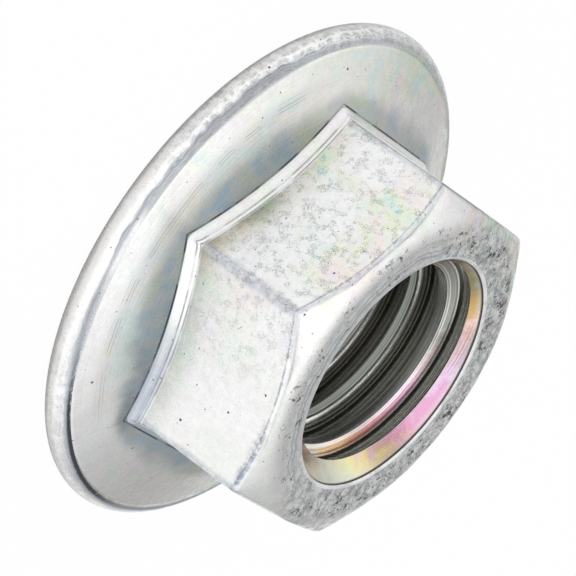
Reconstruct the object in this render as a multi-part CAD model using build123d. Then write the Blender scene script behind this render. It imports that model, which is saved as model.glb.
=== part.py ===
from build123d import *
import os
from math import radians, sin, cos, sqrt, tan

# Serrated flange nut, M10 x 1.5, cold forged in one piece.
# Millimetres. The origin is the centre of the bearing face and the nut's axis is +Z.
# The opening of the hexagon points up, and two of its flats face +X and -X.

# Thread. The wall of the hole is the thread's core; the helix itself isn't cut.
thread_diameter = 10.0
core_diameter = 8.6
countersink_lip = 0.05
countersink_angle = 90.0

# Hexagon
hex_flats = 14.0
nut_height = 8.2
corner_round = 0.25
top_land_inset = 0.40
top_chamfer_angle = 28.0
shoulder_round = 0.25

# Flange
flange_diameter = 22.0
rim_thickness = 1.28
rim_width = 0.50
rim_step = 0.04
cone_angle = 20.0

# Bevel where the hexagon runs out on the flange's conical face
root_bevel_up = 0.42
root_bevel_out = 0.31

# Ratchet teeth in the bearing face. Each is a long ramp and a steep back, so that the
# nut slides as it is tightened and bites when it is turned back.
tooth_count = 24
tooth_depth = 0.35
tooth_ring_margin = 0.30
tooth_ring_width = 4.0
crest_share = 0.12
back_share = 0.12
tooth_end_angle = 45.0

# Sizes that follow
flange_radius = flange_diameter / 2
rim_radius = rim_thickness / 2
rim_centre = flange_radius - rim_radius
crease_radius = flange_radius - rim_width
rim_top = rim_radius + sqrt(rim_radius**2 - (crease_radius - rim_centre) ** 2)
crease_height = rim_top - rim_step
corner_radius = hex_flats / 2 / cos(radians(30))
top_land_radius = hex_flats / 2 - top_land_inset
core_radius = core_diameter / 2
mouth_radius = thread_diameter / 2 + countersink_lip
mouth_depth = (mouth_radius - core_radius) / tan(radians(countersink_angle / 2))
tooth_outer_radius = rim_centre - tooth_ring_margin
tooth_inner_radius = tooth_outer_radius - tooth_ring_width
tooth_pitch = 360 / tooth_count


def cone_height(radius):
    """Height of the flange's conical face at a radius."""
    return crease_height + (crease_radius - radius) * tan(radians(cone_angle))


def chamfer_height(radius):
    """Height of the hexagon's top chamfer at a radius."""
    return nut_height - (radius - top_land_radius) * tan(radians(top_chamfer_angle))


def turned_polygon(*points):
    """Solid of revolution about Z of a straight-sided half section."""
    section = Plane.XZ * make_face(Polyline(*points, close=True))
    return revolve(section, Axis.Z)


def flange():
    """Round-edged flange with a sloping upper face, raised slightly at its rim."""
    inner = thread_diameter / 2
    rim_end = (crease_radius, rim_top)
    outline = Polyline((0, 0), (rim_centre, 0))
    outline += ThreePointArc((rim_centre, 0), (flange_radius, rim_radius), rim_end)
    outline += Polyline(
        rim_end,
        (crease_radius, crease_height),
        (inner, cone_height(inner)),
        (0, cone_height(inner)),
        (0, 0),
    )
    return revolve(Plane.XZ * make_face(outline), Axis.Z)


def hexagon():
    """Hexagonal prism with softened corners, its top cut back to a round land."""
    outline = RegularPolygon(hex_flats / 2, 6, major_radius=False, rotation=30)
    prism = Pos(0, 0, rim_radius) * extrude(outline, nut_height - rim_radius)
    prism = fillet(prism.edges().filter_by(Axis.Z), corner_round)
    past_corner = corner_radius + 1
    top = turned_polygon(
        (0, 0),
        (past_corner, 0),
        (past_corner, chamfer_height(past_corner)),
        (top_land_radius, nut_height),
        (0, nut_height),
    )
    return soften_shoulder(prism & top)


def on_shoulder(edge):
    """True for an edge between the top chamfer and a side of the hexagon."""
    middle = edge @ 0.5
    radius = sqrt(middle.X**2 + middle.Y**2)
    on_chamfer = abs(middle.Z - chamfer_height(radius)) < 0.01
    return on_chamfer and radius > hex_flats / 2 - 0.01


def soften_shoulder(body):
    """Body with a rounded edge all round between the top chamfer and the sides."""
    return fillet(body.edges().filter_by(on_shoulder), shoulder_round)


def meets_flange(edge):
    """True for an edge that lies both on the hexagon and on the conical face."""
    middle = edge @ 0.5
    radius = sqrt(middle.X**2 + middle.Y**2)
    on_cone = abs(middle.Z - cone_height(radius)) < 0.01
    return on_cone and hex_flats / 2 - 0.01 < radius < corner_radius


def bevel_root(body):
    """Body with the bevel along the line where the hexagon meets the flange."""
    edges = body.edges().filter_by(meets_flange)
    return chamfer(edges, root_bevel_up, root_bevel_out)


def hole():
    """Threaded hole at its core size, countersunk at both ends."""
    return turned_polygon(
        (0, 0),
        (mouth_radius, 0),
        (core_radius, mouth_depth),
        (core_radius, nut_height - mouth_depth),
        (mouth_radius, nut_height),
        (0, nut_height),
    )


def tooth_gap():
    """Gap between two teeth: its faces all meet at the centre of the bearing face."""
    start = radians(tooth_pitch * crest_share)
    floor = start + radians(tooth_pitch * back_share)
    end = radians(tooth_pitch)
    reach = flange_radius
    depth = tooth_depth * reach / tooth_outer_radius
    bottom = Vector(reach * cos(floor), reach * sin(floor), depth)
    back = Vector(reach * cos(start), reach * sin(start), 0)
    ramp = Vector(reach * cos(end), reach * sin(end), 0)
    below_back = back + (back - bottom)
    below_ramp = ramp + (ramp - bottom) * 0.5
    return ConvexPolyhedron([Vector(0, 0, 0), bottom, below_back, below_ramp])


def tooth_ring():
    """Ring that the tooth gaps are cut in, with sloping ends."""
    run_out = 2 * tooth_depth / tan(radians(tooth_end_angle))
    return turned_polygon(
        (tooth_inner_radius - run_out, -2 * tooth_depth),
        (tooth_outer_radius + run_out, -2 * tooth_depth),
        (tooth_outer_radius - run_out, 2 * tooth_depth),
        (tooth_inner_radius + run_out, 2 * tooth_depth),
    )


body = bevel_root(flange() + hexagon())
body -= hole()
gap = tooth_gap() & tooth_ring()
body -= PolarLocations(0, tooth_count) * gap

os.makedirs("parts", exist_ok=True)
export_step(body, "parts/flange_nut.step")
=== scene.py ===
from math import atan2, cos, hypot, pi, radians, sin, sqrt, tan

import bpy
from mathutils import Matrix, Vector


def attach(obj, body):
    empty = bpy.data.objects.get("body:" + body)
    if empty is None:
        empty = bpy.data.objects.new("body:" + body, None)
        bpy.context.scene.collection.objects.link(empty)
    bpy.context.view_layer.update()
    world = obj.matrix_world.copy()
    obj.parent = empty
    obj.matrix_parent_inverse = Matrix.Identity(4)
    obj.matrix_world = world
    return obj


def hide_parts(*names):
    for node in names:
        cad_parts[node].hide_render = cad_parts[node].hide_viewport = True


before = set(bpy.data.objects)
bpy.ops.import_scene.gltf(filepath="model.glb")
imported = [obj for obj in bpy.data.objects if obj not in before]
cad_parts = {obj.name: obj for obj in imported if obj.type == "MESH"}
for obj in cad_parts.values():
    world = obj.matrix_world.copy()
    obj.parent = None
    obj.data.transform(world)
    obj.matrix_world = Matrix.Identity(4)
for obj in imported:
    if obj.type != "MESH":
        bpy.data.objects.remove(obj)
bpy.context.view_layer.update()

# Sizes are in millimetres and angles in degrees. The nut is modelled in millimetres and
# brought to metres at the end.
MM = 0.001

HEX_FLATS = 14.0
NUT_HEIGHT = 8.2
TOP_LAND = 6.6
TOP_CHAMFER = 28.0
LAND_BLEND = 0.38
CORNER_ROUND = 0.25
SHOULDER_ROUND = 0.20
SHOULDER_LOWEST = 6.0

FLANGE_RADIUS = 11.0
RIM_RADIUS = 0.64
CREASE_RADIUS = 10.5
CREASE_STEP = 0.04
CREASE_SLOPE = 0.05
CREASE_WIDTH = 0.16
CONE_ANGLE = 20.0
CONE_END = 6.2

# Strip around the foot of the hexagon: how far out of the side, how high over the cone.
FOOT_STRIP = [
    (-0.02, 0.55), (0.012, 0.43), (0.04, 0.39), (0.075, 0.355), (0.10, 0.335),
    (0.12, 0.305), (0.20, 0.19), (0.27, 0.085), (0.30, 0.03), (0.31, -0.1)]

CORE_RADIUS = 4.3
MOUTH_RADIUS = 5.05
LIP_RADIUS = 5.22
LIP_ROUND = 0.20
LIP_TILT = 50.0
LIP_STEP = 0.045
SEAT_STEP = 0.005
THREAD_PITCH = 1.5
THREAD_ROOT = 4.95
THREAD_FLANK = 30.0
THREAD_INSIDE = 0.25
THREAD_START = 267.8
THREAD_CREST_DEPTH = 1.72
THREAD_MOUTH = 1.05
THREAD_TURNS = 9

TOOTH_COUNT = 24
TOOTH_DEPTH = 0.35
TOOTH_OUTER = 10.06
TOOTH_INNER = 6.06
CREST_SHARE = 0.12
BACK_SHARE = 0.12
BACK_OVERLAP = 0.3
RAMP_OVERLAP = 0.1

# How finely the round forms are divided.
ROUND_STEPS = 180
HELIX_STEPS = 120
RIM_STEPS = 14
LAND_STEPS = 8
LIP_STEPS = 6
CORNER_STEPS = 8
SIDE_STEPS = 12
CORNER_SEGMENTS = 6
SHOULDER_SEGMENTS = 5
SMOOTH_ANGLE = 32

# Sizes that follow.
SIDE = HEX_FLATS / 2
HEX_CORNER = SIDE / cos(radians(30))
RIM_CENTRE = FLANGE_RADIUS - RIM_RADIUS
RIM_TOP = RIM_RADIUS + sqrt(RIM_RADIUS ** 2 - (CREASE_RADIUS - RIM_CENTRE) ** 2)
CREASE_HEIGHT = RIM_TOP - CREASE_STEP
SEAT_WIDTH = MOUTH_RADIUS - CORE_RADIUS

# How far a cutting tool reaches past the nut, and how near a place has to be to count.
PAST = 0.5
NEAR = 0.02


# ---------------------------------------------------------------- modelling

def object_mode():
    """Leave edit mode, if it is on."""
    if bpy.context.mode != "OBJECT":
        bpy.ops.object.mode_set(mode="OBJECT")


def start():
    """Leave nothing selected, ready for a new primitive."""
    object_mode()
    bpy.ops.object.select_all(action="DESELECT")


def only(piece):
    """Make one piece the active and only selected object."""
    start()
    piece.select_set(True)
    bpy.context.view_layer.objects.active = piece


def edit(kind):
    """Go to edit mode, selecting vertices, edges or faces."""
    bpy.ops.object.mode_set(mode="EDIT")
    bpy.ops.mesh.select_mode(type=kind)


def close_up():
    """Merge doubles, point every face outwards and put the place into the mesh."""
    if bpy.context.mode == "OBJECT":
        bpy.ops.object.mode_set(mode="EDIT")
    bpy.ops.mesh.select_all(action="SELECT")
    bpy.ops.mesh.remove_doubles(threshold=1e-5)
    bpy.ops.mesh.normals_make_consistent(inside=False)
    object_mode()
    bpy.ops.object.transform_apply(location=True, rotation=True, scale=True)


def turned(name, stations):
    """Closed solid of revolution, raised ring by ring from its lowest station."""
    start()
    radius, height = stations[0]
    bpy.ops.mesh.primitive_circle_add(
        vertices=ROUND_STEPS, radius=radius, location=(0, 0, height), fill_type="NGON")
    piece = bpy.context.object
    piece.name = name
    edit("FACE")
    bpy.ops.mesh.select_all(action="SELECT")
    for next_radius, next_height in stations[1:]:
        bpy.ops.mesh.extrude_region_move(
            TRANSFORM_OT_translate={"value": (0, 0, next_height - height)})
        grow = next_radius / radius
        bpy.ops.transform.resize(value=(grow, grow, 1), center_override=(0, 0, 0))
        radius, height = next_radius, next_height
    close_up()
    return piece


def choose_edges(piece, test):
    """Select the edges whose two ends pass a test of place."""
    only(piece)
    edit("EDGE")
    bpy.ops.mesh.select_all(action="DESELECT")
    object_mode()
    mesh = piece.data
    for edge in mesh.edges:
        a, b = (mesh.vertices[i].co for i in edge.vertices)
        edge.select = test(a, b)
    edit("EDGE")


def combine(piece, tool, how):
    """Join, cut or overlap two solids, and use up the second."""
    only(piece)
    step = piece.modifiers.new(how, "BOOLEAN")
    step.operation = how
    step.solver = "EXACT"
    step.object = tool
    bpy.ops.object.modifier_apply(modifier=step.name)
    only(tool)
    bpy.ops.object.delete()
    only(piece)
    close_up()
    return piece


def cone_height(radius):
    """Height of the flange's sloping face at a radius."""
    return CREASE_HEIGHT + (CREASE_RADIUS - radius) * tan(radians(CONE_ANGLE))


def chamfer_height(radius):
    """Height of the hexagon's top chamfer at a radius."""
    return NUT_HEIGHT - (radius - TOP_LAND) * tan(radians(TOP_CHAMFER))


def make_flange():
    """Round flange: bearing face, full round rim, crease and sloping top."""
    first = radians(-90)
    last = atan2(RIM_TOP - RIM_RADIUS, CREASE_RADIUS - RIM_CENTRE)
    turns = [first + (last - first) * i / RIM_STEPS for i in range(RIM_STEPS + 1)]
    rim = [(RIM_CENTRE + RIM_RADIUS * cos(t), RIM_RADIUS + RIM_RADIUS * sin(t)) for t in turns]
    valley = CREASE_RADIUS - CREASE_WIDTH
    cone = [(CREASE_RADIUS - CREASE_SLOPE, CREASE_HEIGHT - CREASE_STEP),
            (valley, cone_height(valley)),
            (CONE_END, cone_height(CONE_END))]
    return turned("flange", rim + cone)


def land_edge():
    """Soft passage from the top chamfer to the flat top, as a parabola."""
    out, top = TOP_LAND + LAND_BLEND, TOP_LAND - LAND_BLEND
    points = []
    for i in range(LAND_STEPS + 1):
        t = i / LAND_STEPS
        a, b, c = (1 - t) ** 2, 2 * t * (1 - t), t ** 2
        points.append((a * out + b * TOP_LAND + c * top,
                       a * chamfer_height(out) + (b + c) * NUT_HEIGHT))
    return points


def make_hexagon():
    """Hexagonal prism with rounded corners and a cone-shaped top chamfer."""
    start()
    bpy.ops.mesh.primitive_cylinder_add(
        vertices=6, radius=HEX_CORNER, depth=NUT_HEIGHT - RIM_RADIUS,
        location=(0, 0, (NUT_HEIGHT + RIM_RADIUS) / 2))
    hexagon = bpy.context.object
    hexagon.name = "hexagon"
    bpy.ops.object.transform_apply(location=True, rotation=True, scale=True)
    choose_edges(hexagon, lambda a, b: abs(a.z - b.z) > 1)
    bpy.ops.mesh.bevel(offset=CORNER_ROUND * tan(radians(30)), segments=CORNER_SEGMENTS, affect="EDGES")
    close_up()
    wide = HEX_CORNER + 1
    topping = turned("topping", [(wide, 0), (wide, chamfer_height(wide))] + land_edge())
    return combine(hexagon, topping, "INTERSECT")


def hexagon_outline(out):
    """Rounded hexagon, its sides a distance outside the nut's own."""
    corner = (SIDE - CORNER_ROUND) / cos(radians(30))
    points = []
    for side in range(6):
        turn = 60 * side + 30
        for i in range(CORNER_STEPS + 1):
            way = radians(turn - 30 + 60 * i / CORNER_STEPS)
            points.append(Vector((
                corner * cos(radians(turn)) + (CORNER_ROUND + out) * cos(way),
                corner * sin(radians(turn)) + (CORNER_ROUND + out) * sin(way))))
        last = points[-1]
        along = Vector((cos(radians(turn + 120)), sin(radians(turn + 120))))
        for i in range(1, SIDE_STEPS):
            points.append(last + along * corner * i / SIDE_STEPS)
    return points


def make_foot():
    """Narrow strip that follows the flange's slope around the hexagon's foot."""
    start()
    rings = [hexagon_outline(out) for out, up in reversed(FOOT_STRIP)]
    heights = [up for out, up in reversed(FOOT_STRIP)]
    bpy.ops.mesh.primitive_circle_add(vertices=len(rings[0]), radius=1, fill_type="NGON")
    foot = bpy.context.object
    foot.name = "foot"
    for vertex, (x, y) in zip(foot.data.vertices, rings[0]):
        vertex.co = (x, y, cone_height(hypot(x, y)) + heights[0])
    edit("FACE")
    bpy.ops.mesh.select_all(action="SELECT")
    for here, after, up in zip(rings, rings[1:], heights[1:]):
        bpy.ops.mesh.extrude_region_move(TRANSFORM_OT_translate={"value": (0, 0, 0.01)})
        object_mode()
        for vertex in [v for v in foot.data.vertices if v.select]:
            flat = vertex.co.xy
            nearest = min(range(len(here)), key=lambda i: (here[i] - flat).length_squared)
            x, y = after[nearest]
            vertex.co = (x, y, cone_height(hypot(x, y)) + up)
        bpy.ops.object.mode_set(mode="EDIT")
    close_up()
    return foot


def on_shoulder(point):
    """True where the top chamfer meets a side or a corner of the hexagon."""
    radius = hypot(point.x, point.y)
    reach = max(point.x * cos(radians(60 * k)) + point.y * sin(radians(60 * k)) for k in range(6))
    on_hexagon = abs(reach - SIDE) < NEAR or radius > HEX_CORNER - 0.2
    on_chamfer = abs(point.z - chamfer_height(radius)) < NEAR
    return on_hexagon and on_chamfer and point.z > SHOULDER_LOWEST


def make_body():
    """Hexagon, flange and foot strip in one, its shoulder rounded."""
    body = combine(make_hexagon(), make_flange(), "UNION")
    body = combine(body, make_foot(), "UNION")
    body.name = "serrated_flange_nut"
    choose_edges(body, lambda a, b: on_shoulder(a) and on_shoulder(b))
    bpy.ops.mesh.bevel(
        offset=SHOULDER_ROUND, segments=SHOULDER_SEGMENTS, profile=0.5, affect="EDGES")
    close_up()
    return body


def mouth_lip():
    """Rolled edge of the upper countersink, from its groove up to the flat top."""
    points = []
    for i in range(LIP_STEPS + 1):
        tilt = radians(LIP_TILT * (1 - i / LIP_STEPS))
        points.append((LIP_RADIUS - LIP_ROUND * sin(tilt), NUT_HEIGHT - LIP_ROUND * (1 - cos(tilt))))
    return points


def cut_hole(body):
    """Cut the core hole with a countersink at each end, the upper one with a lip."""
    lip = mouth_lip()
    seat_radius, seat_height = lip[0][0] - SEAT_STEP, lip[0][1] - LIP_STEP
    hole = turned("hole", [
        (MOUTH_RADIUS + PAST, -PAST),
        (CORE_RADIUS, MOUTH_RADIUS - CORE_RADIUS),
        (CORE_RADIUS, seat_height - (seat_radius - CORE_RADIUS)),
        (seat_radius, seat_height)] + lip + [(LIP_RADIUS, NUT_HEIGHT + PAST)])
    return combine(body, hole, "DIFFERENCE")


def cut_thread(body):
    """Cut the right-hand helical groove from mouth to mouth."""
    start()
    groove_z = NUT_HEIGHT - THREAD_CREST_DEPTH + THREAD_PITCH / 2
    groove_z -= THREAD_PITCH * THREAD_START / 360
    low = groove_z - THREAD_PITCH * 4
    inner = CORE_RADIUS - THREAD_INSIDE
    slope = tan(radians(THREAD_FLANK))
    half_mouth = THREAD_MOUTH / 2
    half_root = half_mouth - (THREAD_ROOT - CORE_RADIUS) * slope
    half_inner = half_mouth + (CORE_RADIUS - inner) * slope
    bpy.ops.mesh.primitive_plane_add(size=1)
    groove = bpy.context.object
    groove.name = "groove"
    corners = [(inner, -half_inner), (THREAD_ROOT, -half_root),
               (inner, half_inner), (THREAD_ROOT, half_root)]
    for vertex, (radius, height) in zip(groove.data.vertices, corners):
        vertex.co = (radius, 0, low + height)
    edit("FACE")
    bpy.ops.mesh.select_all(action="SELECT")
    bpy.ops.mesh.delete(type="ONLY_FACE")
    object_mode()
    step = groove.modifiers.new("helix", "SCREW")
    step.axis = "Z"
    step.angle = radians(360)
    step.screw_offset = THREAD_PITCH
    step.steps = step.render_steps = HELIX_STEPS
    step.iterations = THREAD_TURNS
    step.use_merge_vertices = False
    bpy.ops.object.modifier_apply(modifier=step.name)
    edit("EDGE")
    bpy.ops.mesh.select_all(action="DESELECT")
    bpy.ops.mesh.select_non_manifold()
    bpy.ops.mesh.fill_holes(sides=0)
    close_up()
    return combine(body, groove, "DIFFERENCE")


def make_tooth_gap():
    """Gap between two teeth: its faces all meet at the centre of the bearing face."""
    pitch = radians(360 / TOOTH_COUNT)
    first = pitch * CREST_SHARE
    floor = first + pitch * BACK_SHARE
    depth = TOOTH_DEPTH * FLANGE_RADIUS / TOOTH_OUTER
    bottom = Vector((FLANGE_RADIUS * cos(floor), FLANGE_RADIUS * sin(floor), depth))
    back = Vector((FLANGE_RADIUS * cos(first), FLANGE_RADIUS * sin(first), 0))
    ramp = Vector((FLANGE_RADIUS * cos(pitch), FLANGE_RADIUS * sin(pitch), 0))
    below_back = back + (back - bottom) * BACK_OVERLAP
    below_ramp = ramp + (ramp - bottom) * RAMP_OVERLAP
    start()
    bpy.ops.mesh.primitive_cone_add(vertices=3, radius1=1, radius2=0, depth=1)
    gap = bpy.context.object
    gap.name = "tooth_gap"
    places = [bottom, below_back, below_ramp, Vector((0, 0, 0))]
    for vertex, place in zip(gap.data.vertices, places):
        vertex.co = place
    close_up()
    run = 2 * TOOTH_DEPTH
    outer = turned("outer", [(TOOTH_OUTER + run, -run), (TOOTH_OUTER - run, run)])
    gap = combine(gap, outer, "INTERSECT")
    inner = turned("inner", [(TOOTH_INNER - run, -run), (TOOTH_INNER + run, run)])
    return combine(gap, inner, "DIFFERENCE")


def cut_teeth(body):
    """Cut the gaps between the ratchet teeth into the bearing face."""
    gap = make_tooth_gap()
    copies = [gap]
    for k in range(1, TOOTH_COUNT):
        only(gap)
        bpy.ops.object.duplicate()
        copy = bpy.context.object
        copy.rotation_euler.z = radians(360 / TOOTH_COUNT) * k
        bpy.ops.object.transform_apply(rotation=True)
        copies.append(copy)
    start()
    for copy in copies:
        copy.select_set(True)
    bpy.context.view_layer.objects.active = gap
    bpy.ops.object.join()
    return combine(body, gap, "DIFFERENCE")


def finish_mesh(piece):
    """Bring the piece to metres and give it clean shading."""
    only(piece)
    piece.scale = (MM, MM, MM)
    bpy.ops.object.transform_apply(location=True, rotation=True, scale=True)
    bpy.ops.object.shade_smooth_by_angle(angle=radians(SMOOTH_ANGLE))
    step = piece.modifiers.new("normals", "WEIGHTED_NORMAL")
    step.keep_sharp = True
    bpy.ops.object.modifier_apply(modifier=step.name)


nut = make_body()
cut_hole(nut)
cut_thread(nut)
cut_teeth(nut)
finish_mesh(nut)
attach(nut, "root")
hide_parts("flange_nut")


# ---------------------------------------------------------------- values in node trees

class Value:
    """A value in a node tree; arithmetic on it adds the nodes that work it out."""

    def __init__(self, tree, socket=None):
        self.tree = tree
        self.socket = socket

    def node(self, kind, inputs=(), output=0, **settings):
        """Add a node, give it settings and inputs, and return one of its outputs."""
        node = self.tree.nodes.new(kind)
        for name, setting in settings.items():
            setattr(node, name, setting)
        for name, value in dict(inputs).items():
            if isinstance(value, Value):
                self.tree.links.new(value.socket, node.inputs[name])
            else:
                node.inputs[name].default_value = value
        return Value(self.tree, node.outputs[output])

    def maths(self, operation, *rest):
        """Work out one sum from this value and the rest."""
        inputs = {i: value for i, value in enumerate((self,) + rest)}
        return self.node("ShaderNodeMath", inputs, operation=operation)

    def __add__(self, other):
        return self.maths("ADD", other)

    __radd__ = __add__

    def __mul__(self, other):
        return self.maths("MULTIPLY", other)

    __rmul__ = __mul__

    def __sub__(self, other):
        return self.maths("SUBTRACT", other)

    def __rsub__(self, other):
        return self.maths("MULTIPLY_ADD", -1.0, other)

    def __truediv__(self, other):
        return self.maths("DIVIDE", other)

    def unsigned(self):
        """Its size, without its sign."""
        return self.maths("ABSOLUTE")

    def capped(self):
        """No more than 1."""
        return self.maths("MINIMUM", 1.0)

    def rise(self, low, high):
        """Smooth step from 0 at low to 1 at high."""
        return self.node("ShaderNodeMapRange", {
            "Value": self, "From Min": low, "From Max": high}, interpolation_type="SMOOTHSTEP")

    def fall(self, low, high):
        """Smooth step from 1 at low to 0 at high."""
        return 1 - self.rise(low, high)

    def band(self, start, full, fade, end):
        """1 between full and fade, 0 before start and after end."""
        return self.rise(start, full) * self.fall(fade, end)

    def lines(self, scale, detail=2.0):
        """Fine lines that follow whatever this value is constant along."""
        return self.node("ShaderNodeTexNoise", {
            "W": self * scale, "Scale": 1.0, "Detail": detail, "Roughness": 0.6}, noise_dimensions="1D")

    def blend(self, low, high):
        """Colour that goes from low to high as this value goes from 0 to 1."""
        return self.node("ShaderNodeMix", {0: self, 6: low, 7: high}, 2, data_type="RGBA")

    def ramp(self, stops):
        """Colour by this value, from pairs of place and colour."""
        colours = self.node("ShaderNodeValToRGB", {"Fac": self})
        band = colours.socket.node.color_ramp
        while len(band.elements) < len(stops):
            band.elements.new(0.5)
        for element, (place, colour) in zip(band.elements, stops):
            element.position = place
            element.color = colour
        return colours


def tone(red, green, blue):
    """Colour, with the alpha that a socket wants."""
    return (red, green, blue, 1)


def new_material(name):
    """Material of bare metal, with its node tree and its shader."""
    material = bpy.data.materials.new(name)
    material.use_nodes = True
    shader = material.node_tree.nodes["Principled BSDF"]
    shader.inputs["Metallic"].default_value = 1
    return material, material.node_tree, shader


class Place:
    """Where on the nut a point lies, in millimetres and in degrees."""

    def __init__(self, tree):
        here = Value(tree).node("ShaderNodeTexCoord", output="Object")
        self.spot = here.node("ShaderNodeVectorMath", {0: here, "Scale": 1 / MM}, operation="SCALE")
        axes = [self.spot.node("ShaderNodeSeparateXYZ", {0: self.spot}, i) for i in range(3)]
        self.x, self.y, self.z = axes
        self.radius = (self.x * self.x + self.y * self.y).maths("SQRT")
        self.turn = self.y.maths("ARCTAN2", self.x) * (180 / pi)

    def noise(self, scale, detail=2.0, roughness=0.5, distortion=0.0, shift=0.0):
        """Noise from 0 to 1; a shift gives a pattern of its own."""
        spot = self.spot
        if shift:
            spot = spot.node("ShaderNodeVectorMath", {0: spot, 1: (shift, -shift, shift * 2)})
        return spot.node("ShaderNodeTexNoise", {
            "Vector": spot, "Scale": scale, "Detail": detail,
            "Roughness": roughness, "Distortion": distortion})

    def cells(self, scale, feature="F1", output="Distance", spot=None):
        """Irregular cells: how far a point lies from a middle or an edge, or a cell's own number."""
        return self.spot.node("ShaderNodeTexVoronoi", {
            "Vector": spot or self.spot, "Scale": scale}, output, feature=feature)

    def pits(self, scale, size, share):
        """Small ragged pits, of a size in millimetres, in a share of the cells."""
        chosen = self.cells(scale, output="Color").maths("LESS_THAN", share)
        ragged = self.cells(scale) / scale + (self.noise(9.0) - 0.5) * size
        return chosen * ragged.fall(size * 0.5, size)


# ---------------------------------------------------------------- zinc plate

# Places of fine lines of painted shade: how far out of the hexagon's middle, and how deep the bump
# goes.
STRIP_LINE_OUT = 7.108
STRIP_LINE_IN = 7.02
STRIP_EDGE_REACH = 7.325
PLATE_BUMP = 0.01
STEEL_BUMP = 0.02

WHITE = tone(1, 1, 1)
PALE_ZINC = tone(0.945, 0.95, 0.95)
SCUFF_GREY = tone(0.33, 0.34, 0.34)
CORNER_SHADOW = tone(0.24, 0.27, 0.30)
# The next five tones are painted shade on the rim.
RIM_LEFT_SHADE = tone(0.50, 0.50, 0.51)
HOLLOW_GREY = tone(0.40, 0.42, 0.45)
RIM_LINE = tone(0.26, 0.29, 0.36)
RIM_RIGHT = tone(0.66, 0.67, 0.67)
RIM_BACK = tone(0.58, 0.59, 0.60)
RING_GREY = tone(0.44, 0.47, 0.51)
WORN_BLUE = tone(0.48, 0.52, 0.58)
BLUE_BLACK = tone(0.26, 0.31, 0.41)
# Painted shade on the side seen edge-on.
EDGE_ON_SHADE = tone(0.06, 0.06, 0.06)
SHOULDER_LINE = tone(0.28, 0.30, 0.35)
STRIP_GREY = tone(0.66, 0.68, 0.69)
STRIP_BLUE = tone(0.42, 0.47, 0.56)
# Painted highlight on the foot strip.
STRIP_HIGHLIGHT = tone(0.99, 0.99, 0.99)
# Painted shade lines along the foot strip.
STRIP_LINE = tone(0.20, 0.21, 0.22)
MOTTLE_GREY = tone(0.36, 0.37, 0.38)
SPECK_GREY = tone(0.22, 0.22, 0.22)
# Painted shade in the creases.
CREASE_SHADE = tone(0.05, 0.055, 0.065)
WRINKLE_GREY = tone(0.30, 0.30, 0.27)
CRACK_GREY = tone(0.16, 0.16, 0.16)
PIT_BLACK = tone(0.07, 0.07, 0.065)
LIP_BRIGHT = tone(0.95, 0.95, 0.95)
# Painted shade line at the lip.
LIP_SHADE_LINE = tone(0.08, 0.08, 0.08)

# Runs of colour: a place from 0 to 1, and the colour there.
FILM_TINTS = [
    (0.0, tone(0.68, 0.86, 0.95)), (0.2, tone(0.70, 0.90, 0.80)), (0.38, tone(0.88, 0.91, 0.68)),
    (0.5, tone(0.88, 0.89, 0.87)), (0.64, tone(0.96, 0.86, 0.76)), (0.8, tone(0.90, 0.80, 0.86)),
    (1.0, tone(0.78, 0.84, 0.96))]
# Painted shade on the inner cone.
CONE_SHADE_GREYS = [
    (0.3, tone(0.62, 0.71, 0.69)), (0.5, tone(0.67, 0.70, 0.71)), (0.7, tone(0.74, 0.73, 0.66))]
# Painted shade low on the sides.
FOOT_SHADE_GREENS = [
    (0.2, tone(0.30, 0.42, 0.22)), (0.5, tone(0.38, 0.39, 0.31)), (0.8, tone(0.60, 0.48, 0.28))]
CORNER_SHADES = [
    (0.25, tone(0.26, 0.40, 0.50)), (0.5, tone(0.42, 0.45, 0.46)), (0.75, tone(0.40, 0.47, 0.34))]
# Painted shade and highlight across the rim.
RIM_SHADE_BANDS = [
    (0.0, tone(0.64, 0.62, 0.61)), (0.14, tone(0.92, 0.91, 0.90)), (0.48, tone(1.0, 0.995, 0.99)),
    (0.66, tone(0.93, 0.94, 0.96)), (0.80, tone(0.58, 0.61, 0.67)), (0.90, tone(0.68, 0.70, 0.74)),
    (1.0, tone(0.58, 0.60, 0.63))]


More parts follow.
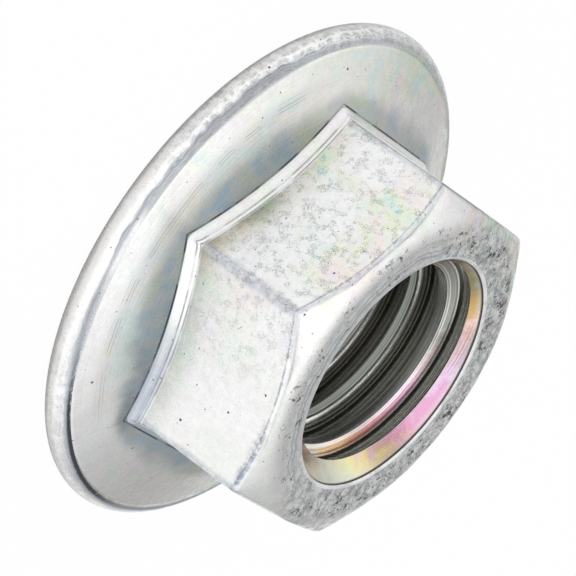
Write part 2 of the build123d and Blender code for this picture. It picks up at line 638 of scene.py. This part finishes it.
class Plate(Place):
    """The plated outside: its regions, 1 inside and 0 outside, and what its marks share."""

    def __init__(self, tree):
        super().__init__(tree)
        slant = [(self.x * cos(radians(60 * k)) + self.y * sin(radians(60 * k))).unsigned()
                 for k in range(3)]
        self.reach = slant[0].maths("MAXIMUM", slant[1]).maths("MAXIMUM", slant[2])
        self.over = self.z - CREASE_HEIGHT - (CREASE_RADIUS - self.radius) * tan(radians(CONE_ANGLE))
        self.roll = (self.z - RIM_RADIUS).maths("ARCTAN2", self.radius - RIM_CENTRE) * (180 / pi)
        self.below_chamfer = chamfer_height(0) - self.z - self.radius * tan(radians(TOP_CHAMFER))

        self.upper = self.over.rise(-0.3, -0.2)
        self.land = self.z.rise(NUT_HEIGHT - 0.10, NUT_HEIGHT - 0.01)
        self.rim = self.radius.rise(CREASE_RADIUS - 0.05, CREASE_RADIUS + 0.12)
        self.rim_top = self.z.rise(0.8, 1.0)
        self.cone = self.over.fall(0.02, 0.06) * self.upper * (1 - self.rim)
        self.side = self.reach.band(SIDE - 0.10, SIDE - 0.03, SIDE + 0.01, SIDE + 0.03)
        self.side = self.side * self.over.rise(0.4, 0.5)
        self.strip = self.reach.rise(SIDE + 0.01, SIDE + 0.03) * self.over.band(0.0, 0.05, 0.55, 0.6)
        self.back = self.y.fall(-1.0, 4.0)
        self.front = self.y.rise(4.5, 7.5)
        self.beside_hole = self.radius.fall(6.0, 6.4)

        self.wide = self.noise(0.8, shift=6.0)
        self.mottle = self.noise(3.0, 5.0, 0.7)
        self.grain = self.noise(11.0, 3.0, 0.6, shift=3.0)
        self.film = (self.noise(0.55, 3.0, 0.6, 0.4) - 0.5) * 2.5 + 0.5
        self.streak = (self.roll * 0.06 + self.mottle * 1.2 + self.wide * 3.0).lines(1.6, 3.0)
        self.drawn = self.reach.lines(24.0) * 0.7 + self.noise(2.0, shift=8.0) * 0.3
        self.coarse = self.coarseness()
        self.dull = self.mottle.rise(0.38, 0.60) * (0.08 + 0.66 * self.coarse)
        self.warped = self.spot.node("ShaderNodeVectorMath", {0: self.spot, 1: self.spot.node(
            "ShaderNodeTexNoise", {"Vector": self.spot, "Scale": 5.0, "Detail": 3.0}, "Color")})
        self.wrinkle = self.wrinkles()
        self.pitted = self.pitting()

    def coarseness(self):
        """Strongest on the flat top behind the hole, then the rim's sides, shoulder and cone."""
        top = self.land * (0.40 * self.beside_hole + 0.60 * self.back)
        rim_ends = self.x.rise(-2.0, 6.0) + self.x.fall(-7.0, -3.0) * 0.45
        rim = self.rim * rim_ends * self.streak.rise(0.35, 0.6)
        shoulder = self.z.rise(7.2, 7.8) * self.back
        cone = self.cone * self.y.fall(0.0, 4.0)
        return (top + rim * 0.85 + shoulder * 0.7 + cone * 0.2).capped()

    def wrinkles(self):
        """Short fine wrinkles in patches on the sides and the flat top."""
        wrinkle = self.cells(4.6, "DISTANCE_TO_EDGE", spot=self.warped).fall(0.0, 0.12)
        wrinkle = wrinkle * self.noise(2.6, 3.0, 0.6, shift=9.0).rise(0.46, 0.62)
        return wrinkle * (self.side + self.land * 0.6).capped() * self.x.rise(-7.0, 3.0)

    def pitting(self):
        """Pits all over, and ragged hollows on the flat top."""
        pits = self.pits(1.3, 0.07, 0.35).maths("MAXIMUM", self.pits(3.1, 0.035, 0.35))
        rags = self.noise(2.8, 4.0, 0.8, shift=15.0) + (self.noise(0.7, shift=18.0) - 0.5) * 0.35
        rags = (rags + self.back * 0.02).rise(0.60, 0.635) * self.land * self.radius.rise(5.3, 5.5)
        return pits.maths("MAXIMUM", rags)


def film_tints(at):
    """Clean plate with pale tinted patches, and painted light that makes the hexagon's sides on the
    left whiter.
    """
    patches = at.noise(0.35, 2.0, shift=4.0).rise(0.38, 0.58) * (0.22 + 0.6 * at.x.rise(-3.0, 3.0))
    patches = patches * (1 - 0.5 * at.cone - 0.6 * at.land) + at.cone * at.y.fall(0.0, 4.0) * 0.28
    # Painted light: the hexagon's sides on the left are whiter than the rest of the plate.
    base_with_lit_sides = (at.side * at.x.fall(-1.0, 0.5)).blend(PALE_ZINC, WHITE)
    return patches.blend(base_with_lit_sides, at.film.ramp(FILM_TINTS))


def cone_shade_and_scuffs(at, colour):
    """Painted shade that makes the cone greyer inside a bright outer band, with round scuffs between
    the two.
    """
    # Painted shade: the inner cone is greyer towards the front.
    inner = at.cone * (at.radius + (at.mottle - 0.5) * 0.8).fall(9.2, 9.9) * at.front
    colour = (inner * 0.85).blend(colour, at.film.ramp(CONE_SHADE_GREYS))
    scuffs = (at.radius + at.wide * 0.12).lines(17.0, 3.0).rise(0.55, 0.66)
    scuffs = scuffs * at.cone * at.radius.band(9.0, 9.25, 9.5, 9.75)
    scuffs = scuffs * at.noise(0.9, shift=12.0).rise(0.40, 0.55) * (0.15 + 0.85 * at.front)
    return (scuffs * 0.55).blend(colour, SCUFF_GREY)


def foot_and_corner_shade(at, colour):
    """Painted shade: darker, greener plate low on the sides and in the corner at the hexagon's foot."""
    # Painted shade low on the hexagon's sides.
    foot = at.over.fall(0.35, 1.7) * at.side
    foot = foot * (0.5 + 0.5 * (at.wide + at.grain * 0.25).rise(0.45, 0.7))
    foot = foot * (0.35 + 0.65 * at.x.rise(-1.5, 0.5)) * (0.15 + 0.85 * at.x.fall(2.2, 4.8))
    colour = (foot * 0.92).blend(colour, at.film.ramp(FOOT_SHADE_GREENS))
    # Painted shade on the cone in the corner at the hexagon's foot, darkest nearest the side.
    gap = at.reach - SIDE + (at.noise(1.2, 3.0, shift=6.0) - 0.5) * 0.9 - 0.5 * at.front
    corner = at.cone * gap.fall(0.6, 1.7) * at.radius.fall(8.4, 9.2) * (0.66 + 0.14 * at.front)
    shade = (at.noise(0.6, 3.0, 0.55, shift=21.0) - 0.5) * 2.0 + 0.5
    colour = corner.blend(colour, shade.ramp(CORNER_SHADES))
    deep = at.cone * gap.fall(0.3, 1.0) * at.x.fall(-5.6, -3.6) * at.y.rise(2.5, 4.5)
    return (deep * 0.75).blend(colour, CORNER_SHADOW)


def rim_painted_shading(at, colour):
    """Painted shade and highlight across the rolled rim: dull outside, bright in the middle, blue-grey
    by the crease.
    """
    above = at.y.rise(5.0, 9.5) * at.x.rise(-5.0, 0.0)
    across = (at.roll + 20) / 100 + (at.streak - 0.5) * 0.10 + (at.wide - 0.5) * 0.25
    across = across + above * 0.12 - at.y.fall(-1.0, 3.0) * 0.12
    # Painted shade and highlight, by how far the rim has rolled round.
    colour = (at.rim * 0.9).blend(colour, across.ramp(RIM_SHADE_BANDS))
    # Painted shade on the outer part of the rim on the left.
    left_outer_shade = at.rim * at.x.fall(-10.2, -8.2) * at.y.rise(-1.0, 3.0) * across.fall(0.35, 0.6)
    colour = (left_outer_shade * 0.4).blend(colour, RIM_LEFT_SHADE)
    # Painted shade on the rim's inner part by the crease at the front, with a darker line in it.
    hollow = at.rim * above * across.rise(0.66, 0.78)
    colour = (hollow * (0.5 + 0.45 * at.streak.rise(0.38, 0.55))).blend(colour, HOLLOW_GREY)
    edge = at.rim * above * (across - 0.72).unsigned().fall(0.01, 0.06) * at.wide.rise(0.42, 0.52)
    colour = (edge * 0.6).blend(colour, RIM_LINE)
    # Painted shade on the rim on the right and at the back.
    colour = (at.rim * at.x.rise(8.5, 10.3) * 0.35).blend(colour, RIM_RIGHT)
    return (at.rim * at.y.fall(-7.5, -3.0) * 0.5).blend(colour, RIM_BACK)


def top_rings(at, colour):
    """Grey lines round the flat top, beside the hole."""
    rings = (at.radius + at.wide * 0.7).lines(5.0, 3.0).rise(0.48, 0.60) * at.z.rise(7.96, 8.10)
    rings = rings * at.beside_hole * (0.3 + 0.7 * at.y.rise(1.5, 3.5))
    return (rings * 0.7).blend(colour, RING_GREY)


def edge_wear_and_light(at, colour):
    """Blue-grey wear along the hexagon's edges with a thin dark line in the middle, a painted highlight
    under the shoulder, a blue-black band below it on the left, and painted shade on the side seen
    edge-on.
    """
    upright = at.side * (at.radius + (at.wide - 0.5) * 0.12).rise(7.90, 8.02)
    shoulder = at.reach.rise(SIDE - 0.15, SIDE - 0.05) * at.below_chamfer.band(-0.06, 0.0, 0.04, 0.22)
    shoulder = shoulder * (0.35 + 0.65 * at.x.rise(-2.5, 1.0))
    worn = (upright + shoulder).capped() * (0.5 + at.mottle.rise(0.30, 0.65) * 0.5)
    colour = (worn * 0.70).blend(colour, WORN_BLUE)
    # Painted highlight just under the shoulder on the left.
    shine = at.side * at.below_chamfer.fall(0.10, 0.16) * at.x.band(-5.4, -4.2, -2.5, -0.8)
    colour = (shine * (0.4 + 0.6 * at.grain.rise(0.42, 0.5)) * 0.8).blend(colour, WHITE)
    low = at.side * at.below_chamfer.fall(0.10, 0.50) * at.x.fall(-5.2, -3.4) * at.y.rise(2.0, 3.5)
    colour = (low * (0.25 + 0.75 * at.mottle.rise(0.42, 0.58)) * 0.85).blend(colour, BLUE_BLACK)
    # Painted shade on the top of the +x side, seen edge-on, and on the corner beside it.
    edge_on_shade = at.x.rise(SIDE - 0.10, SIDE - 0.02) * at.below_chamfer.fall(0.15, 0.30) * at.y.rise(0.3, 1.5)
    corner = at.side * at.radius.rise(8.03, 8.05) * at.x.rise(6.2, 6.8) * at.y.rise(2.0, 3.0)
    colour = ((edge_on_shade + corner * 0.8).capped() * 0.9).blend(colour, EDGE_ON_SHADE)
    line = (at.below_chamfer + (at.grain - 0.5) * 0.10 - 0.15).unsigned().fall(0.015, 0.05) * at.side
    line = line + (at.radius + (at.grain - 0.5) * 0.03).rise(8.035, 8.05) * at.side
    return (line.capped() * (0.25 + 0.5 * at.mottle.rise(0.4, 0.6))).blend(colour, SHOULDER_LINE)


def strip_marks(at, colour):
    """The foot strip: grey, blue low down on the left, a painted highlight at the front, and two thin
    dark lines of painted shade along it.
    """
    grey = at.strip * (0.35 + 0.3 * at.drawn.rise(0.40, 0.62))
    colour = grey.blend(colour, STRIP_GREY)
    blue = at.strip * at.x.fall(-5.2, -2.4) * (0.5 + 0.5 * at.drawn.rise(0.35, 0.6))
    colour = (blue * 0.85).blend(colour, STRIP_BLUE)
    # Painted highlight on the strip at the front.
    bright = at.strip * at.x.band(-3.6, -2.4, -0.5, 0.3) * at.y.rise(5.0, 6.0)
    colour = (bright * 0.85).blend(colour, STRIP_HIGHLIGHT)
    # Painted shade: one line in the strip's crease and one where the strip meets the side.
    lines = (at.reach - STRIP_LINE_OUT + (at.grain - 0.5) * 0.02).unsigned().fall(0.008, 0.022)
    lines = (lines + (at.reach - STRIP_LINE_IN).unsigned().fall(0.006, 0.018)).capped()
    lines = lines * at.over.band(0.05, 0.1, 0.5, 0.6) * (0.3 + 0.7 * at.wide.rise(0.4, 0.6))
    return (lines * 0.75).blend(colour, STRIP_LINE)


def mottling(at, colour):
    """Grey mottling and darker specks, strong where the plate is coarse."""
    colour = at.dull.blend(colour, MOTTLE_GREY)
    specks = at.grain.rise(0.56, 0.70) * (0.14 + 0.50 * at.coarse)
    return specks.blend(colour, SPECK_GREY)


def crease_shade_and_glints(at, colour):
    """Painted shade in the crease inside the rim and round the foot strip, and painted glints on the
    crease.
    """
    # Painted shade in the crease inside the rim, on the left.
    crease = (at.radius - CREASE_RADIUS - 0.06 + (at.grain - 0.5) * 0.08).unsigned().fall(0.05, 0.13)
    crease = crease * (0.25 + 0.85 * (at.mottle + 0.15).rise(0.42, 0.62)) * at.rim_top
    crease = crease * at.x.fall(-8.6, -5.0) * (0.1 + 0.9 * at.y.rise(-1.5, 2.2))
    # Painted shade where the foot strip meets the cone.
    strip_edge_shade = (at.reach - STRIP_EDGE_REACH).unsigned().fall(0.015, 0.04) * at.over.fall(0.03, 0.06) * at.upper
    strip_edge_shade = strip_edge_shade * (0.3 + 0.7 * at.wide.rise(0.40, 0.55))
    colour = ((crease + strip_edge_shade).capped() * 0.94).blend(colour, CREASE_SHADE)
    # Painted glints on the crease.
    glints = (at.radius - CREASE_RADIUS + 0.01).unsigned().fall(0.03, 0.08)
    glints = glints * at.grain.rise(0.50, 0.58) * at.rim_top
    glints = glints * at.x.band(-8.8, -7.6, -3.6, -2.4) * at.y.rise(4.0, 6.0)
    return (glints * 0.85).blend(colour, WHITE)


def hurts(at, colour):
    """Wrinkles, the flat top's cracks, and pits."""
    colour = (at.wrinkle * 0.30).blend(colour, WRINKLE_GREY)
    cracks = at.cells(1.9, "DISTANCE_TO_EDGE", spot=at.warped).fall(0.0, 0.07)
    cracks = cracks * at.land * (0.15 + 0.85 * at.back) * at.noise(1.3, shift=24.0).rise(0.42, 0.55)
    colour = (cracks * 0.8).blend(colour, CRACK_GREY)
    return (at.pitted * 0.9).blend(colour, PIT_BLACK)


def mouth_edge(at, colour):
    """Bright lip round the countersink, with a dark line of painted shade inside it."""
    lip = at.radius.fall(5.20, 5.24) * at.z.rise(8.02, 8.06)
    colour = (lip * (0.55 + 0.35 * at.wide.rise(0.4, 0.6))).blend(colour, LIP_BRIGHT)
    # Painted shade: a dark line inside the lip.
    return (lip * at.radius.fall(5.068, 5.085) * 0.9).blend(colour, LIP_SHADE_LINE)


def zinc_plate():
    """Bright zinc plate: pale tints, painted shade, highlights and glints, worn edges, mottling, pits
    and scuffs.
    """
    material, tree, shader = new_material("zinc_plate")
    at = Plate(tree)
    colour = film_tints(at)
    for marks in (cone_shade_and_scuffs, foot_and_corner_shade, rim_painted_shading, top_rings, edge_wear_and_light, strip_marks,
                  mottling, crease_shade_and_glints, hurts, mouth_edge):
        colour = marks(at, colour)
    tree.links.new(colour.socket, shader.inputs["Base Color"])

    rough = 0.20 + 0.10 * at.mottle + 0.20 * at.coarse + 0.25 * at.dull
    tree.links.new(rough.socket, shader.inputs["Roughness"])

    height = at.mottle * (0.3 + 1.5 * at.coarse) + at.grain * (0.15 + 0.9 * at.coarse)
    height = height - at.pitted * 2.0 - at.wrinkle * 1.2
    height = height + at.noise(0.7, 1.0, shift=1.0) * 2.0 + at.radius.lines(9.0) * at.cone * 0.25
    height = height + at.drawn * at.strip * 0.8
    bump = height.node("ShaderNodeBump", {
        "Height": height, "Distance": PLATE_BUMP * MM, "Strength": 1.0})
    tree.links.new(bump.socket, shader.inputs["Normal"])
    return material


# ---------------------------------------------------------------- cut steel

SEAT_EDGE = tone(0.74, 0.74, 0.68)
SEAT_GREY = tone(0.70, 0.68, 0.71)
# Painted shade deep in the hole.
DEEP_SHADE_BROWN = tone(0.17, 0.14, 0.12)
RIDGE_SHADE_GREY = tone(0.22, 0.22, 0.22)
RIDGE_GREEN = tone(0.42, 0.53, 0.44)
RIDGE_STREAK = tone(1.0, 1.0, 0.97)
THREAD_GLINT = tone(1.0, 1.0, 0.98)

# The hole's own faces lie between these heights.
HOLE_BOTTOM = 0.05
HOLE_TOP = NUT_HEIGHT - 0.10

SEAT_TINTS = [
    (0.00, tone(0.78, 0.80, 0.74)), (0.14, tone(0.78, 0.80, 0.60)), (0.24, tone(0.86, 0.76, 0.34)),
    (0.32, tone(0.84, 0.60, 0.40)), (0.40, tone(0.80, 0.40, 0.56)), (0.52, tone(0.76, 0.42, 0.64)),
    (0.64, tone(0.86, 0.64, 0.85)), (0.74, tone(0.96, 0.66, 0.68)), (0.84, tone(0.66, 0.42, 0.15)),
    (0.94, tone(0.42, 0.38, 0.18))]
# Painted shade in the grooves, with bright turning lines.
GROOVE_SHADE_AND_LINES = [
    (0.38, tone(0.10, 0.11, 0.10)), (0.50, tone(0.28, 0.29, 0.26)), (0.56, tone(0.85, 0.85, 0.78)),
    (0.62, tone(1.0, 1.0, 0.96))]
FLANK_TINTS = [
    (0.08, tone(0.80, 0.78, 0.62)), (0.20, tone(0.98, 0.74, 0.36)), (0.30, tone(1.0, 0.60, 0.38)),
    (0.42, tone(1.0, 0.58, 0.66)), (0.56, tone(1.0, 0.66, 0.86)), (0.68, tone(0.86, 0.72, 0.70)),
    (0.82, tone(0.44, 0.46, 0.41))]


class Hole(Place):
    """The machined hole: how deep a point lies, and where across the thread's pitch."""

    def __init__(self, tree):
        super().__init__(tree)
        self.depth = NUT_HEIGHT - self.z
        lead = self.depth + (self.turn + 360 - THREAD_START) * (THREAD_PITCH / 360)
        first_crest = THREAD_CREST_DEPTH - (THREAD_PITCH - THREAD_MOUTH) / 2
        self.phase = ((lead - first_crest) / THREAD_PITCH).maths("FRACT")
        self.blotch = self.noise(1.6, 3.0, 0.6)
        round_nut = ((self.turn + 220) / 360).maths("FRACT")
        self.across_seat = (MOUTH_RADIUS - self.radius) / SEAT_WIDTH
        self.hue = (round_nut * 2 - 0.22 + (self.blotch - 0.5) / 3) * 1.1 - 0.03
        self.hue = self.hue + self.across_seat * 0.10
        self.lathe = (self.phase + (self.radius - 4.6) * 0.2).lines(42.0, 3.0)
        self.seat = (self.radius + self.depth).band(5.10, 5.14, 5.20, 5.24)
        self.ridge = self.radius.fall(4.31, 4.33) * self.phase.band(0.05, 0.08, 0.24, 0.30)
        self.inner_ridge = self.ridge * self.depth.rise(1.9, 3.2)


def seat_colour(at):
    """Countersink: tints that run round it, a paler edge, and a dark line of painted shade under the
    lip.
    """
    colour = (at.across_seat.fall(0.0, 0.30) * 0.45).blend(at.hue.ramp(SEAT_TINTS), SEAT_EDGE)
    colour = (at.blotch.rise(0.42, 0.7) * 0.40).blend(colour, SEAT_GREY)
    # Painted shade under the lip.
    return (at.depth.fall(0.125, 0.165) * 0.9).blend(colour, LIP_SHADE_LINE)


def thread_colour(at):
    """Thread: grooves in painted shade with bright turning lines, ridges painted dark then lighter
    deeper in, glints, and a tinted first flank.
    """
    # Painted shade: the grooves are dark, with bright turning lines.
    colour = at.lathe.ramp(GROOVE_SHADE_AND_LINES)
    # Painted shade, darker deeper down the hole.
    colour = (at.depth.rise(1.6, 4.2) * 0.4).blend(colour, DEEP_SHADE_BROWN)
    # Painted shade on the ridges near the mouth.
    colour = at.ridge.blend(colour, RIDGE_SHADE_GREY)
    # Painted light: deeper ridges lighter, with bright streaks along the turning lines.
    streaked = at.lathe.rise(0.44, 0.54).blend(RIDGE_GREEN, RIDGE_STREAK)
    colour = at.inner_ridge.blend(colour, streaked)
    # Painted glints on the crest edges.
    glint = at.radius.fall(4.36, 4.42) * (at.phase.fall(0.0, 0.05) + at.phase.rise(0.93, 0.96))
    colour = glint.blend(colour, THREAD_GLINT)
    bright = (at.radius.lines(9.0, 1.0).rise(0.54, 0.62) + at.lathe.rise(0.60, 0.70)).capped()
    flank = at.radius.fall(4.62, 4.74) * at.depth.fall(1.5, 1.9)
    return flank.blend(colour, bright.blend(at.hue.ramp(FLANK_TINTS), WHITE))


def cut_steel():
    """Machined hole: tinted countersink, painted glints on the thread edges and painted shade in the
    grooves.
    """
    material, tree, shader = new_material("cut_steel")
    shader.inputs["Roughness"].default_value = 0.2
    at = Hole(tree)
    colour = at.seat.blend(thread_colour(at), seat_colour(at))
    tree.links.new(colour.socket, shader.inputs["Base Color"])
    metal = 1 - at.inner_ridge * 0.8
    tree.links.new(metal.socket, shader.inputs["Metallic"])
    height = at.lathe * 0.6 + at.noise(14.0) * 0.2 + at.blotch * at.seat
    bump = height.node("ShaderNodeBump", {
        "Height": height, "Distance": STEEL_BUMP * MM, "Strength": 0.9})
    tree.links.new(bump.socket, shader.inputs["Normal"])
    return material


def dress(piece):
    """Plate on the outside, cut steel on every face inside the hole."""
    piece.data.materials.clear()
    piece.data.materials.append(zinc_plate())
    piece.data.materials.append(cut_steel())
    for face in piece.data.polygons:
        middle = face.center / MM
        inside = hypot(middle.x, middle.y) < MOUTH_RADIUS
        face.material_index = 1 if inside and HOLE_BOTTOM < middle.z < HOLE_TOP else 0


dress(nut)


# ---------------------------------------------------------------- stage, light and camera

# The floor, in metres: its size, its tone, how bright it is seen, and how far out from
# the nut it starts to be seen so in the metal.
FLOOR_SIZE = 4
PAPER_TONE = 0.9
PAPER_GLOW = 0.97
MIRROR_START = 0.010
MIRROR_FULL = 0.0165

# Soft light all round, dimmer towards the back wall, and panels: a direction, how wide
# it spreads, and how much it adds there.
BACK_LIGHT = 0.46
FRONT_LIGHT = 1.12
PANELS = [
    ((0.55, -0.70, 0.45), 38, 0.14),
    ((0.56, 0.03, 0.83), 24, -0.66),
    ((-0.50, 0.03, 0.86), 22, -0.68),
    ((-0.55, -0.78, 0.28), 38, -0.06),
    ((-0.92, -0.38, 0.05), 32, -0.20),
    ((0.0, -0.2, 0.98), 40, 0.12),
]
PANEL_CORE = 0.15

CAMERA_PLACE = (5.5234, 150.069, 80.353)
CAMERA_TURN = (-48.321, -46.0865, -34.6762)
CAMERA_LENS = 272.911
CAMERA_SENSOR = 36
CAMERA_NEAREST = 0.01


def make_floor():
    """White paper under the nut, seen evenly white by the camera, and in the metal away from the nut.
    """
    start()
    bpy.ops.mesh.primitive_plane_add(size=FLOOR_SIZE, location=(0, 0, 0))
    floor = bpy.context.object
    floor.name = "floor"
    paper = bpy.data.materials.new("floor_paper")
    paper.use_nodes = True
    tree = paper.node_tree
    matt = tree.nodes["Principled BSDF"]
    matt.inputs["Base Color"].default_value = tone(PAPER_TONE, PAPER_TONE, PAPER_TONE)
    matt.inputs["Roughness"].default_value = 1
    camera_ray = Value(tree).node("ShaderNodeLightPath", output="Is Camera Ray")
    glossy_ray = Value(tree, camera_ray.socket.node.outputs["Is Glossy Ray"])
    here = camera_ray.node("ShaderNodeTexCoord", output="Object")
    away = here.node("ShaderNodeVectorMath", {0: here}, "Value", operation="LENGTH")
    mirrored = glossy_ray * away.rise(MIRROR_START, MIRROR_FULL)
    seen = camera_ray.maths("MAXIMUM", mirrored) * PAPER_GLOW
    glow = seen.node("ShaderNodeEmission", {"Strength": 1.0})
    mix = seen.node("ShaderNodeMixShader", {0: seen, 1: Value(tree, matt.outputs[0]), 2: glow})
    tree.links.new(mix.socket, tree.nodes["Material Output"].inputs["Surface"])
    floor.data.materials.append(paper)


def make_sky():
    """Studio light from every side, with brighter and dimmer panels in it."""
    world = bpy.context.scene.world or bpy.data.worlds.new("studio")
    bpy.context.scene.world = world
    world.use_nodes = True
    tree = world.node_tree
    way = Value(tree).node("ShaderNodeTexCoord", output="Generated")
    forward = way.node("ShaderNodeSeparateXYZ", {0: way}, "Y")
    level = BACK_LIGHT + (FRONT_LIGHT - BACK_LIGHT) * forward.rise(-1.0, -0.1)
    for direction, spread, amount in PANELS:
        aim = tuple(Vector(direction).normalized())
        facing = way.node("ShaderNodeVectorMath", {0: way, 1: aim}, "Value", operation="DOT_PRODUCT")
        edge, core = cos(radians(spread)), cos(radians(spread * PANEL_CORE))
        level = level + facing.rise(edge, core) * amount
    background = tree.nodes["Background"]
    tree.links.new(level.socket, background.inputs["Strength"])
    background.inputs["Color"].default_value = WHITE


def make_camera():
    """Long lens, close in, looking down the hole from above."""
    view = bpy.data.cameras.new("camera")
    camera = bpy.data.objects.new("camera", view)
    bpy.context.scene.collection.objects.link(camera)
    camera.location = [place * MM for place in CAMERA_PLACE]
    camera.rotation_euler = [radians(turn) for turn in CAMERA_TURN]
    view.sensor_width = CAMERA_SENSOR
    view.lens = CAMERA_LENS
    view.clip_start = CAMERA_NEAREST
    bpy.context.scene.camera = camera


make_floor()
make_sky()
make_camera()
bpy.context.scene.view_settings.view_transform = "Standard"
